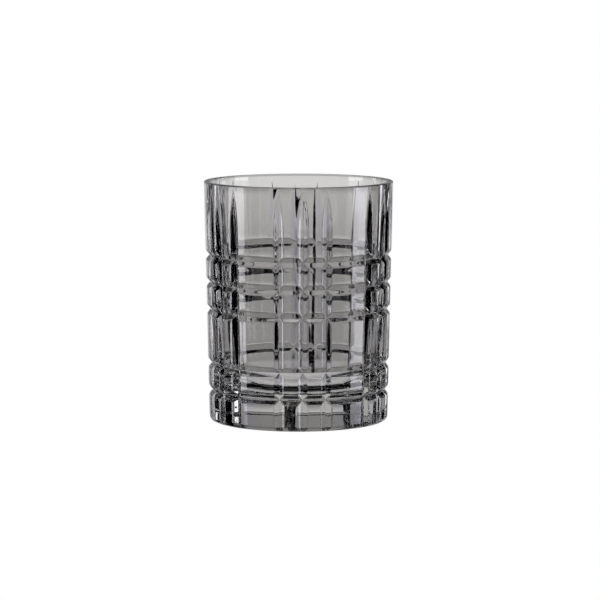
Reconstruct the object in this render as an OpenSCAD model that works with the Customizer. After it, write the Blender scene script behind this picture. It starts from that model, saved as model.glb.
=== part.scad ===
// Whiskey tumbler: one piece of pressed glass with a plaid of V-grooves.
// +Z is up. The origin is the centre of the base, on the plane that the glass stands on.

/* [Body] */
// Height of the tumbler
height = 102; // [98:0.5:112]
// Outer diameter at the rim
rim_d = 80.4; // [78:0.1:86]
// Outer diameter at the foot, before the heel is rounded
foot_d = 75.8; // [74:0.1:77]
// Thickness of the wall at the rim
rim_wall = 2.7; // [2:0.1:3]
// Radius of the rim's two rounded edges
lip_r = 0.8; // [0.4:0.1:0.9]
// Thickness of the wall at the bottom of its upper taper
side_wall = 4.4; // [3.6:0.1:4.8]
// Thickness of the wall at the level of the cavity's floor
foot_wall = 5.6; // [5:0.1:6.4]
// Height of the wall's upper taper, measured down from the rim
taper_h = 57; // [40:1:64]
// Radius of the rounded heel
heel_r = 2.2; // [1.5:0.1:2.6]

/* [Cavity] */
// Thickness of the base at the centre
base_t = 14.2; // [12:0.1:17]
// Radius of the corner between the cavity's floor and its wall
corner_r = 11; // [5:0.5:12]

/* [Underside] */
// Diameter of the shallow recess inside the standing ring
recess_d = 60; // [50:1:64]
// Depth of the recess
recess_h = 1; // [0.6:0.1:1.5]

/* [Grooves] */
// Depth of every groove, measured square to the wall
groove_depth = 1.6; // [1:0.1:1.8]
// Width of a groove's mouth
groove_mouth = 4.1; // [3:0.1:4.4]
// Height of the lowest level groove
first_groove_z = 13.3; // [12.5:0.1:14]
// Height of one step of the plaid
plaid_step = 11.5; // [11:0.1:12]
// Distance from the rim down to the sharp tips of the upright grooves
tip_drop = 1.8; // [1.6:0.1:5]
// Length over which an upright groove runs out to its tip
tip_run = 16; // [12:1:20]
// Angle that the whole plaid is turned by
plaid_turn = 2.6; // [-7:0.1:7]

/* [Hidden] */
$fn = 96;

// Level grooves, counted in steps of the plaid above the lowest one. Step 2 has none, so one row is tall.
LEVEL_STEPS = [0, 1, 3, 4, 5];
// Upright grooves, counted in twenty-fourths of a turn.
// Every fourth place is left out, which makes a wide panel there.
UPRIGHT_STEPS = [for (step = [0:23]) if (step % 4 != 2) step];
turn_step = 360 / 24;

rim_r = rim_d / 2;
foot_r = foot_d / 2;
recess_r = recess_d / 2;
neck_z = height - taper_h;
wall_lean = atan((rim_r - foot_r) / height);
tip_z = height - tip_drop;
run_start_z = tip_z - tip_run;
run_lean = atan(groove_depth / tip_run);
// The cutters reach this far past the glass.
spare = 3;
// A groove's cutter keeps the flank angle of the groove itself.
flank = groove_mouth / 2 / groove_depth;

// Radius of the outer wall at a height.
function wall_r(z) = foot_r + (rim_r - foot_r) * z / height;

// Points of an arc about a centre, from one angle to another.
function arc(cx, cz, r, from, to, steps) =
    [for (i = [0:steps]) let (a = from + (to - from) * i / steps) [cx + r * cos(a), cz + r * sin(a)]];

// Distance that a rounded corner's centre lies inside a leaning wall, measured level.
function inset(r, lean) = r / cos(lean) - r * tan(lean);

// Half of the glass's section, as one outline: underside, heel, outer wall, rim, inner wall, cavity floor.
// The inner wall has two straight stretches, because the wall thickens from the rim down to the base.
module section() {
    neck_r = wall_r(neck_z) - side_wall;
    floor_r = wall_r(base_t) - foot_wall;
    inner_lean = atan((neck_r - floor_r) / (neck_z - base_t));
    polygon(concat(
        [[0, recess_h], [recess_r - recess_h, recess_h], [recess_r, 0]],
        arc(foot_r - inset(heel_r, wall_lean), heel_r, heel_r, -90, -wall_lean, 8),
        arc(rim_r - lip_r, height - lip_r, lip_r, -wall_lean, 90, 8),
        arc(rim_r - rim_wall + lip_r, height - lip_r, lip_r, 90, 180, 8),
        [[neck_r, neck_z]],
        arc(floor_r - inset(corner_r, inner_lean), base_t + corner_r, corner_r, -inner_lean, -90, 12),
        [[0, base_t]]
    ));
}

// A level groove: a ring with a V section, cut at one height.
module level_groove(z) {
    bottom_r = wall_r(z) - groove_depth;
    cut = groove_depth + spare;
    rotate_extrude()
        polygon([[bottom_r, z], [bottom_r + cut, z - cut * flank], [bottom_r + cut, z + cut * flank]]);
}

// A straight bar with a V section. Its sharp edge starts at the origin and runs up Z; the V opens along X.
module v_bar(length) {
    cut = groove_depth + spare;
    linear_extrude(height = length)
        polygon([[0, 0], [cut, -cut * flank], [cut, cut * flank]]);
}

// An upright groove: full depth along the wall, then a run that rises to a sharp tip below the rim.
module upright_groove() {
    low_z = -spare;
    full_length = (run_start_z - low_z) / cos(wall_lean);
    run_length = tip_run + spare;
    translate([wall_r(low_z) - groove_depth, 0, low_z])
        rotate([0, wall_lean, 0])
            v_bar(full_length);
    translate([wall_r(run_start_z) - groove_depth, 0, run_start_z])
        rotate([0, wall_lean + run_lean, 0])
            v_bar(run_length);
}

module tumbler() {
    color([0.55, 0.55, 0.53, 0.5])
        difference() {
            rotate_extrude() section();
            for (step = LEVEL_STEPS)
                level_groove(first_groove_z + plaid_step * step);
            for (step = UPRIGHT_STEPS)
                rotate([0, 0, step * turn_step + plaid_turn - 90])
                    upright_groove();
        }
}

tumbler();
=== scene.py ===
"""Whiskey tumbler: smoke-grey pressed glass with a plaid of V-grooves, on a white studio floor.

Everything is in metres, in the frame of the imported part: +Z is up, the origin is the centre of the
base, and -Y is the front. The glass is one closed mesh, a grid that wraps from the middle of the
underside round the heel, up the outer wall, over the rim and down to the middle of the cavity's floor.
"""

import math

import bpy
import numpy as np
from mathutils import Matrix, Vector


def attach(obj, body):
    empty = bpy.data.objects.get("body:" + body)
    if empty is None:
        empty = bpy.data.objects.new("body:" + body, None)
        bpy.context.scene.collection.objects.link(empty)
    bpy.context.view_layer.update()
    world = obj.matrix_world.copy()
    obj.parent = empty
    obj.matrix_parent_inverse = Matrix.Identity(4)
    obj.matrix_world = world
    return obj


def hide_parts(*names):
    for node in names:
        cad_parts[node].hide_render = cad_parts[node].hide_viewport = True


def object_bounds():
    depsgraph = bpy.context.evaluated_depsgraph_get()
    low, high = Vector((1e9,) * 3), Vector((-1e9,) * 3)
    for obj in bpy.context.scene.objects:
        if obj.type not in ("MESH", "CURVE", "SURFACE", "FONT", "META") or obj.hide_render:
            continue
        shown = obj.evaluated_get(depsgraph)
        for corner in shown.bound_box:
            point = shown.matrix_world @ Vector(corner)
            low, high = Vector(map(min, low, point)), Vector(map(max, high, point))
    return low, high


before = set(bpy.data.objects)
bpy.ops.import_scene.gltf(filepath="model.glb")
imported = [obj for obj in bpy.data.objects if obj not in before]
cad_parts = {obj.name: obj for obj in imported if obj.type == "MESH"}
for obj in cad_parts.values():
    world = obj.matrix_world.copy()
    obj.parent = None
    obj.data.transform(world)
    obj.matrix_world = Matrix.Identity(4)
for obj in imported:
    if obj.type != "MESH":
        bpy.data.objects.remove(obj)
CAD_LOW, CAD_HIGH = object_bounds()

MM = 0.001
FULL_TURN = 2 * math.pi

# --- Sizes that the CAD's box gives ---------------------------------------------------------------
HEIGHT = CAD_HIGH.z - CAD_LOW.z
RIM_R = (CAD_HIGH.x - CAD_LOW.x) / 2

# --- Body, as in the part's own design ------------------------------------------------------------
FOOT_R = 37.9 * MM
RIM_WALL = 2.7 * MM
LIP_R = 0.8 * MM
SIDE_WALL = 4.4 * MM
FOOT_WALL = 5.6 * MM
TAPER_H = 57 * MM
HEEL_R = 2.2 * MM
BASE_T = 14.2 * MM
CORNER_R = 11 * MM
RECESS_R = 30 * MM
RECESS_H = 1 * MM

# --- Grooves --------------------------------------------------------------------------------------
GROOVE_DEPTH = 1.6 * MM
GROOVE_MOUTH = 4.1 * MM
FIRST_GROOVE_Z = 13.3 * MM
PLAID_STEP = 11.5 * MM
TIP_Z = HEIGHT - 1.8 * MM
TIP_RUN = 16 * MM
# How much an upright groove's bottom line bows into the glass along its run to the tip.
RUN_BOW = 0.9
PLAID_TURN = math.radians(2.6)
TURN_STEP = FULL_TURN / 24
LEVEL_STEPS = (0, 1, 3, 4, 5)
UPRIGHT_STEPS = [step for step in range(24) if step % 4 != 2]
# Fire-polishing rounds the grooves' lips over this width, and their bottoms over half of it.
POLISH = 0.2 * MM

# --- Fineness of the mesh -------------------------------------------------------------------------
# Distances from a groove's bottom line at which the grid has a line: close where the surface turns.
GROOVE_LINES = [d * MM for d in (0.1, 0.25, 0.6, 1.1, 1.7, 1.95, 2.15, 2.5)]
# Spacing of rows and columns away from the grooves. A gap may be this share of a step too wide.
ROW_GAP = 1.3 * MM
COLUMN_GAP = math.radians(1.8)
GAP_SLACK = 0.2
ROUND_STEPS = 8
CORNER_STEPS = 12
UPPER_ROWS = 24
LOWER_ROWS = 12
# Radii of the rows across the recess, and places of the rows across the cavity's floor.
RECESS_ROWS = [r * MM for r in (0.5, 4, 8, 12, 16, 20, 24, 27)]
FLOOR_ROWS = (0.85, 0.65, 0.45, 0.25, 0.02)
# Places of the rows on the recess's slope and on the standing ring.
SLOPE_ROWS = (1.15, 1, 0.85, 0.15, 0, -0.15)
RING_ROWS = (0.3, 0.7)
# Small moves round the axis and up, over which the cut wall's slope is measured.
TURN_NUDGE = 1e-5
RISE_NUDGE = 4e-7
ROUNDING = 1e-9

# --- Glass ----------------------------------------------------------------------------------------
GLASS_IOR = 1.52
CLEAR = (0.97, 0.97, 0.97, 1)
SMOKE = (0.505, 0.496, 0.477, 1)
# Distance in from the outer wall beyond which a surface is not coated.
COAT_EDGE = 2.2 * MM
# The pressed ripple on every surface without a coat: how fine, how drawn out upwards, and how high.
RIPPLE_SCALE = 330
RIPPLE_STRETCH = 0.07
RIPPLE_H = 0.05 * MM

# --- Camera ---------------------------------------------------------------------------------------
LENS = 189
SENSOR = 36
CAMERA_PLACE = (0.6 * MM, -1331 * MM, 203.4 * MM)
CAMERA_DOWN = 6.53
CAMERA_REACH = 20

# --- Light: all angles are in degrees, and a bearing of nought is straight behind the glass --------
# Bearings between which each light stands, and how soft its edges are.
BACKLIGHT_SPAN = (-31, 27, 2)
SOFTBOX_SPAN = (86, 110, 1)
STRIP_SPAN = (57, 62, 0.5)
# Brightness of each light against the height above the horizon.
BACKLIGHT = (
    (-62, 0.03), (-50, 0.25), (-40, 0.5), (-9, 0.6), (-8.3, 0.6), (-6.4, 0.97), (-1, 1.0),
    (1.5, 0.25), (5, 0.25), (9, 0.45), (20, 0.55), (26, 0.5), (36, 0.02),
)
SOFTBOX = ((-13, 0.1), (-9.5, 5), (-1, 5), (8, 3), (24, 0.8), (60, 0.3))
STRIP = ((-9, 0.01), (-7, 7), (16, 7), (22, 0.2))
# How bright a softbox is to light that goes into the glass, against light that glints off it.
SOFTBOX_THROUGH = 0.75
# What shows straight through the glass: pale walls, against the bearing and the height, and a floor.
WALLS = ((58, 0), (62, 0.85), (143, 0.85), (146, 0), (154, 0), (157, 0.85))
WALL_RISE = ((-20, 1), (30, 1), (60, 0.3))
FLOOR = ((-26, 0.75), (-17, 0))
# Light from the sides is slightly violet. Its colour comes in between these bearings.
SIDE_COLOR = (0.92, 0.91, 1.0, 1)
SIDE_FROM = 12
SIDE_TO = 26

FLOOR_HALF = 6
BOUNCES = 24
# Holds back the brightest sparkles, which would otherwise be speckle.
SPARKLE_LIMIT = 1.5


# --- Shape of the glass ---------------------------------------------------------------------------
def wall_r(z):
    """Radius of the outer wall at a height, before the grooves are cut."""
    return FOOT_R + (RIM_R - FOOT_R) * z / HEIGHT


def soft_max(a, b, width):
    """The larger of a and b, with the corner between them rounded over about this width."""
    return 0.5 * (a + b + np.sqrt((a - b) ** 2 + width**2))


def groove(distance, depth):
    """Cut at a distance from the bottom line of a V-groove, where its depth is given."""
    across = np.sqrt(distance**2 + (POLISH / 2) ** 2) / (GROOVE_MOUTH / 2)
    return depth - GROOVE_DEPTH * across


def cut_depth(angle, z):
    """Depth that the plaid cuts into the wall at an angle round the axis and a height."""
    level = -np.ones_like(z)
    for step in LEVEL_STEPS:
        level = np.maximum(level, groove(z - FIRST_GROOVE_Z - PLAID_STEP * step, GROOVE_DEPTH))
    along = np.clip((TIP_Z - z) / TIP_RUN, -1, 1)
    run = along * (1 + RUN_BOW * (1 - np.abs(along))) * GROOVE_DEPTH
    upright = -np.ones_like(z)
    for step in UPRIGHT_STEPS:
        off = angle - (step * TURN_STEP + PLAID_TURN)
        off = (off + math.pi) % FULL_TURN - math.pi
        upright = np.maximum(upright, groove(off * wall_r(z), run))
    cut = soft_max(level, upright, POLISH / 2)
    return soft_max(cut, 0 * cut, POLISH)


def inset(r, lean):
    """Level distance from a leaning wall to the centre of a corner of radius r against it."""
    return r / math.cos(lean) - r * math.tan(lean)


def arc(cr, cz, r, start, stop, steps):
    """Points (radius, height) along an arc, from one angle in degrees to another."""
    return [
        (cr + r * math.cos(a), cz + r * math.sin(a))
        for a in np.linspace(math.radians(start), math.radians(stop), steps + 1)
    ]


def spaced(marks, fine, coarse, low, high):
    """Values from low to high: a fine set of offsets round each mark, and even steps in between."""
    values = sorted({round(m + o, 9) for m in marks for o in fine if low < m + o < high} | {low, high})
    out = [values[0]]
    for a, b in zip(values, values[1:]):
        count = max(1, math.ceil((b - a) / coarse - GAP_SLACK))
        out += [a + (b - a) * i / count for i in range(1, count + 1)]
    return out


def groove_offsets():
    """Offsets of the grid's lines from a groove's bottom line, on both sides of it."""
    return [0.0] + [side * line for line in GROOVE_LINES for side in (-1, 1)]


def underside():
    """Rows (radius, height) from the middle of the recess out to the standing ring."""
    rows = [(r, RECESS_H) for r in RECESS_ROWS]
    rows += [(RECESS_R - RECESS_H * t, RECESS_H * min(max(t, 0), 1)) for t in SLOPE_ROWS]
    return rows + [(RECESS_R + (FOOT_R - HEEL_R - RECESS_R) * t, 0) for t in RING_ROWS]


def outer_side(lip_z):
    """Rows round the heel, up the outer wall and round the rim."""
    lean = math.atan2(RIM_R - FOOT_R, HEIGHT)
    tilt = -math.degrees(lean)
    heel = arc(FOOT_R - inset(HEEL_R, lean), HEEL_R, HEEL_R, -90, tilt, ROUND_STEPS)
    marks = [FIRST_GROOVE_Z + PLAID_STEP * step for step in LEVEL_STEPS]
    heights = spaced(marks, groove_offsets(), ROW_GAP, heel[-1][1], lip_z)
    wall = [(wall_r(z), z) for z in heights[1:-1]]
    lip = arc(RIM_R - LIP_R, lip_z, LIP_R, tilt, 90, ROUND_STEPS)
    lip += arc(RIM_R - RIM_WALL + LIP_R, lip_z, LIP_R, 90, 180, ROUND_STEPS)
    return heel + wall + lip


def inner_side(lip_z):
    """Rows down the inner wall's two tapers, round the corner and across the cavity's floor."""
    inner_r = RIM_R - RIM_WALL
    neck_z = HEIGHT - TAPER_H
    neck_r = wall_r(neck_z) - SIDE_WALL
    floor_r = wall_r(BASE_T) - FOOT_WALL
    lean = math.atan2(neck_r - floor_r, neck_z - BASE_T)
    low_z = BASE_T + CORNER_R
    low_r = floor_r - inset(CORNER_R, lean)
    corner = arc(low_r, low_z, CORNER_R, -math.degrees(lean), -90, CORNER_STEPS)
    upper = [
        (inner_r + (neck_r - inner_r) * (lip_z - z) / (lip_z - neck_z), z)
        for z in np.linspace(lip_z, neck_z, UPPER_ROWS)[1:]
    ]
    lower = [
        (neck_r + (corner[0][0] - neck_r) * t, neck_z + (corner[0][1] - neck_z) * t)
        for t in np.linspace(0, 1, LOWER_ROWS)[1:-1]
    ]
    return upper + lower + corner + [(low_r * t, BASE_T) for t in FLOOR_ROWS]


def columns():
    """Angles of the grid's columns, close together across each upright groove."""
    marks = [step * TURN_STEP + PLAID_TURN for step in UPRIGHT_STEPS]
    fine = [offset / ((FOOT_R + RIM_R) / 2) for offset in groove_offsets()]
    start = marks[0] - TURN_STEP / 2
    marks = [start + (mark - start) % FULL_TURN for mark in marks]
    return np.array(spaced(marks, fine, COLUMN_GAP, start, start + FULL_TURN)[:-1])


def profile_normals(rows):
    """Outward (radius, height) normal of the uncut outline at every row."""
    step = np.diff(rows, axis=0)
    length = np.linalg.norm(step, axis=1)[:, None]
    unit = step / length
    middle = unit[:-1] * length[1:] + unit[1:] * length[:-1]
    tangent = np.vstack([[[1, 0]], middle, [[-1, 0]]])
    tangent /= np.linalg.norm(tangent, axis=1)[:, None]
    return np.stack([tangent[:, 1], -tangent[:, 0]], axis=-1)


def cut_normals(a, z):
    """Outward normal of the cut wall at angles a and heights z."""

    def surface(angle, height):
        return wall_r(height) - cut_depth(angle, height)

    by_angle = surface(a + TURN_NUDGE, z) - surface(a - TURN_NUDGE, z)
    by_angle = by_angle / (2 * TURN_NUDGE) / surface(a, z)
    by_height = (surface(a, z + RISE_NUDGE) - surface(a, z - RISE_NUDGE)) / (2 * RISE_NUDGE)
    normal_x = np.sin(a) - np.cos(a) * by_angle
    normal_y = -np.cos(a) - np.sin(a) * by_angle
    normal = np.stack([normal_x, normal_y, -by_height], axis=-1)
    return normal / np.linalg.norm(normal, axis=-1, keepdims=True)


def glass_grid():
    """Points and normals of the grid, each with one row of the outline by one column by (x, y, z)."""
    lip_z = HEIGHT - LIP_R
    under = underside()
    outer = outer_side(lip_z)
    rows = np.array(under + outer + inner_side(lip_z))
    angles = columns()
    r = np.repeat(rows[:, :1], len(angles), axis=1)
    z = np.repeat(rows[:, 1:], len(angles), axis=1)
    a = np.repeat(angles[None, :], len(rows), axis=0)
    profile = profile_normals(rows)
    out = profile[:, :1]
    up = profile[:, 1:]
    normals = np.stack([out * np.sin(a), -out * np.cos(a), up + 0 * a], axis=-1)

    # The last row of the rim is already on the inner side, where nothing is cut.
    cut_rows = slice(len(under), len(under) + len(outer) - 1)
    cut_r = wall_r(z[cut_rows]) - cut_depth(a[cut_rows], z[cut_rows])
    is_cut = cut_r <= r[cut_rows] + ROUNDING
    r[cut_rows] = np.minimum(r[cut_rows], cut_r)
    cut = cut_normals(a[cut_rows], z[cut_rows])
    normals[cut_rows] = np.where(is_cut[:, :, None], cut, normals[cut_rows])
    return np.stack([r * np.sin(a), -r * np.cos(a), z], axis=-1), normals


def grid_faces(index):
    """Quads between the rows, and a fan round the middle of the underside and of the floor."""
    right = np.roll(index, -1, axis=1)
    faces = np.stack([index[:-1], right[:-1], right[1:], index[1:]], axis=-1).reshape(-1, 4).tolist()
    low = index.size
    high = index.size + 1
    faces += [[*pair, low] for pair in zip(right[0].tolist(), index[0].tolist())]
    faces += [[*pair, high] for pair in zip(index[-1].tolist(), right[-1].tolist())]
    return faces


def build_glass():
    """The tumbler as one closed mesh."""
    grid, normals = glass_grid()
    index = np.arange(grid.shape[0] * grid.shape[1]).reshape(grid.shape[:2])
    points = np.vstack([grid.reshape(-1, 3), [[0, 0, RECESS_H], [0, 0, BASE_T]]])
    normals = np.vstack([normals.reshape(-1, 3), [[0, 0, -1], [0, 0, 1]]])
    mesh = bpy.data.meshes.new("tumbler_glass")
    mesh.from_pydata(points.tolist(), [], grid_faces(index))
    mesh.polygons.foreach_set("use_smooth", [True] * len(mesh.polygons))
    mesh.update()
    mesh.normals_split_custom_set_from_vertices(normals)
    mesh.materials.append(glass_material())
    glass = bpy.data.objects.new("tumbler_glass", mesh)
    bpy.context.collection.objects.link(glass)
    return glass


# --- Materials and light --------------------------------------------------------------------------
class Shade:
    """Short names for the nodes of one node tree."""

    def __init__(self, tree):
        self.tree = tree

    def node(self, kind):
        return self.tree.nodes.new("ShaderNode" + kind)

    def link(self, start, end):
        self.tree.links.new(start, end)

    def math(self, operation, a, b=0.0, c=1.0):
        node = self.node("Math")
        node.operation = operation
        for socket, value in zip(node.inputs, (a, b, c)):
            if isinstance(value, bpy.types.NodeSocket):
                self.link(value, socket)
            else:
                socket.default_value = value
        return node.outputs[0]

    def mix(self, factor, first, second):
        """A colour between two fixed ones."""
        node = self.node("Mix")
        node.data_type = "RGBA"
        self.link(factor, node.inputs["Factor"])
        colors = [socket for socket in node.inputs if socket.type == "RGBA"]
        colors[0].default_value = first
        colors[1].default_value = second
        return [socket for socket in node.outputs if socket.type == "RGBA"][0]

    def place(self, kind):
        """The x, y and z of a kind of texture coordinate."""
        split = self.node("SeparateXYZ")
        self.link(self.node("TexCoord").outputs[kind], split.inputs[0])
        return split.outputs

    def ease(self, value, start, stop, low, high):
        """Moves smoothly from low to high as value goes from start to stop."""
        node = self.node("MapRange")
        node.interpolation_type = "SMOOTHSTEP"
        self.link(value, node.inputs["Value"])
        names = ("From Min", "From Max", "To Min", "To Max")
        for name, number in zip(names, (start, stop, low, high)):
            node.inputs[name].default_value = number
        return node.outputs[0]

    def band(self, value, low, high, soft):
        """One between low and high, nought outside, with soft edges."""
        rise = self.ease(value, low - soft, low + soft, 0, 1)
        fall = self.ease(value, high - soft, high + soft, 1, 0)
        return self.math("MULTIPLY", rise, fall)

    def steps(self, value, stops):
        """A smooth curve through (value, level) pairs."""
        total = stops[0][1]
        for (start, low), (stop, high) in zip(stops, stops[1:]):
            part = self.math("MULTIPLY", self.ease(value, start, stop, 0, 1), high - low)
            total = self.math("ADD", total, part)
        return total


def glass_material():
    """Clear glass with a smoke-grey coat round its outer wall, and a faint ripple everywhere else."""
    material = bpy.data.materials.new("smoke_glass")
    material.use_nodes = True
    shader = material.node_tree.nodes["Principled BSDF"]
    shader.inputs["Roughness"].default_value = 0
    shader.inputs["IOR"].default_value = GLASS_IOR
    shader.inputs["Transmission Weight"].default_value = 1

    shade = Shade(material.node_tree)
    x, y, z = shade.place("Object")
    x_squared = shade.math("MULTIPLY", x, x)
    y_squared = shade.math("MULTIPLY", y, y)
    radius = shade.math("SQRT", shade.math("ADD", x_squared, y_squared))
    widening = shade.math("MULTIPLY", z, (RIM_R - FOOT_R) / HEIGHT)
    at_foot = shade.math("SUBTRACT", radius, widening)
    coated = shade.math("GREATER_THAN", at_foot, FOOT_R - COAT_EDGE)
    shade.link(shade.mix(coated, CLEAR, SMOKE), shader.inputs["Base Color"])

    stretch = shade.node("Mapping")
    stretch.inputs["Scale"].default_value = (1, 1, RIPPLE_STRETCH)
    shade.link(shade.node("TexCoord").outputs["Object"], stretch.inputs["Vector"])
    ripple = shade.node("TexNoise")
    ripple.inputs["Scale"].default_value = RIPPLE_SCALE
    ripple.inputs["Detail"].default_value = 1
    shade.link(stretch.outputs[0], ripple.inputs["Vector"])
    bump = shade.node("Bump")
    bump.inputs["Distance"].default_value = RIPPLE_H
    shade.link(shade.math("SUBTRACT", 1, coated), bump.inputs["Strength"])
    shade.link(ripple.outputs[0], bump.inputs["Height"])
    shade.link(bump.outputs[0], shader.inputs["Normal"])
    return material


def make_floor():
    """A plain white floor that only the camera sees. The glass gets all its light from the world."""
    size = FLOOR_HALF
    corners = [(-size, -size, 0), (size, -size, 0), (size, size, 0), (-size, size, 0)]
    mesh = bpy.data.meshes.new("floor")
    mesh.from_pydata(corners, [], [(0, 1, 2, 3)])
    material = bpy.data.materials.new("floor_white")
    material.use_nodes = True
    material.node_tree.nodes.clear()
    shade = Shade(material.node_tree)
    shade.link(shade.node("Emission").outputs[0], shade.node("OutputMaterial").inputs["Surface"])
    mesh.materials.append(material)
    floor = bpy.data.objects.new("floor", mesh)
    bpy.context.collection.objects.link(floor)
    for rays in ("diffuse", "glossy", "transmission", "volume_scatter", "shadow"):
        setattr(floor, "visible_" + rays, False)


def make_world():
    """Plain white to the camera. The glass sees a studio that depends on how the light has travelled.

    Light that only passes straight through it comes from a backlight, pale walls with dark gaps and a
    pale floor. Light that is reflected comes from the backlight, and from a softbox and a narrow strip
    on either side, and all else is dark. No real studio does this. It keeps the dark lines at the edges
    without making the glass look black from the other sides.
    """
    world = bpy.data.worlds.new("studio")
    world.use_nodes = True
    bpy.context.scene.world = world
    background = world.node_tree.nodes["Background"]
    shade = Shade(world.node_tree)
    path = shade.node("LightPath")
    to_camera = path.outputs["Is Camera Ray"]
    x, y, z = shade.place("Generated")
    bearing = shade.math("MULTIPLY", shade.math("ARCTAN2", x, y), 180 / math.pi)
    turn = shade.math("ABSOLUTE", bearing)
    rise = shade.math("MULTIPLY", shade.math("ARCSINE", z), 180 / math.pi)

    back = shade.math("MULTIPLY", shade.band(bearing, *BACKLIGHT_SPAN), shade.steps(rise, BACKLIGHT))
    power = shade.math("MULTIPLY_ADD", path.outputs["Is Transmission Ray"], SOFTBOX_THROUGH - 1, 1)
    side = shade.math("MULTIPLY", shade.band(turn, *SOFTBOX_SPAN), shade.steps(rise, SOFTBOX))
    side = shade.math("MULTIPLY", side, power)
    strip = shade.math("MULTIPLY", shade.band(turn, *STRIP_SPAN), shade.steps(rise, STRIP))
    reflected = shade.math("ADD", back, shade.math("ADD", side, strip))

    wall = shade.math("MULTIPLY", shade.steps(turn, WALLS), shade.steps(rise, WALL_RISE))
    through = shade.math("MAXIMUM", back, shade.math("MAXIMUM", wall, shade.steps(rise, FLOOR)))
    is_straight = shade.math("LESS_THAN", path.outputs["Glossy Depth"], 0.5)
    extra = shade.math("SUBTRACT", through, reflected)
    light = shade.math("MULTIPLY_ADD", is_straight, extra, reflected)
    shade.link(shade.math("MAXIMUM", light, to_camera), background.inputs["Strength"])

    on_glass = shade.math("SUBTRACT", 1, to_camera)
    sideways = shade.math("MULTIPLY", shade.ease(turn, SIDE_FROM, SIDE_TO, 0, 1), on_glass)
    shade.link(shade.mix(sideways, (1, 1, 1, 1), SIDE_COLOR), background.inputs["Color"])


def make_camera():
    """Looks slightly down on the front of the tumbler through a long lens."""
    data = bpy.data.cameras.new("camera")
    data.lens = LENS
    data.sensor_width = SENSOR
    data.clip_end = CAMERA_REACH
    camera = bpy.data.objects.new("camera", data)
    camera.location = CAMERA_PLACE
    camera.rotation_euler = (math.radians(90 - CAMERA_DOWN), 0, 0)
    bpy.context.collection.objects.link(camera)
    bpy.context.scene.camera = camera


def set_paths():
    """Enough bounces for light to work its way through the cut glass, and neutral colours."""
    scene = bpy.context.scene
    scene.view_settings.view_transform = "Standard"
    scene.cycles.max_bounces = BOUNCES
    scene.cycles.transmission_bounces = BOUNCES
    scene.cycles.glossy_bounces = BOUNCES
    scene.cycles.transparent_max_bounces = BOUNCES
    scene.cycles.sample_clamp_indirect = SPARKLE_LIMIT


make_camera()
glass = build_glass()
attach(glass, "root")
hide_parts("tumbler")
make_floor()
make_world()
set_paths()
